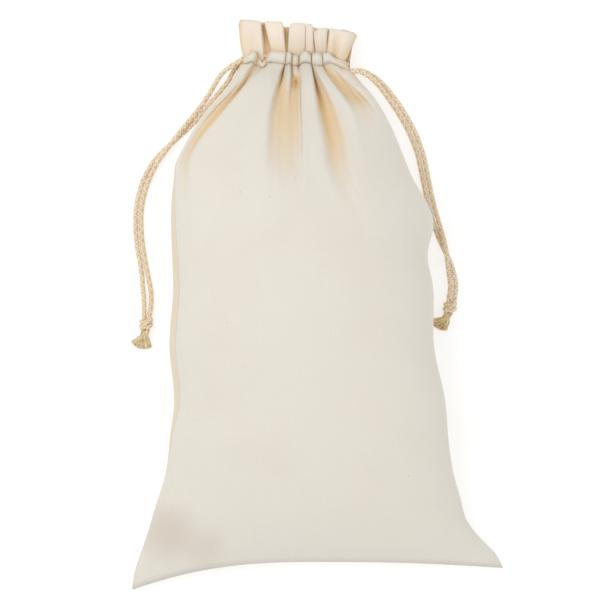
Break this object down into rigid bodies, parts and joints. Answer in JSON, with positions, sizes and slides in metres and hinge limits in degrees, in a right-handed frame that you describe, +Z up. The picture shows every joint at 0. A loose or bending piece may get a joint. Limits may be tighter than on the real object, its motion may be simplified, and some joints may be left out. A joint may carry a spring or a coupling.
{
  "type": "drawstring bag",
  "caption": "Filled cotton bag lying on its back, with a gathered casing, a ruffled header and drawstrings that end in knots and tassels.",
  "frame": {"origin": "on the surface that the bag lies on, under the middle of the bag without its cords", "axes": "+Y towards the mouth, +X to the right as seen from above, +Z up out of the front panel"},
  "size_m": [0.2911, 0.4464, 0.116],
  "materials": {
    "front_cloth": "matte unbleached plain-weave cotton",
    "back_cloth": "matte unbleached plain-weave cotton",
    "cord": "braided cotton cord",
    "knot": "braided cotton cord, tied",
    "tassel": "frayed cotton strands"
  },
  "bodies": {
    "root": {"front_panel": "front_cloth", "back_panel": "back_cloth", "left_drawstring": "cord", "right_drawstring": "cord", "left_knot": "knot", "right_knot": "knot", "left_tassel": "tassel", "right_tassel": "tassel"}
  },
  "joints": []
}
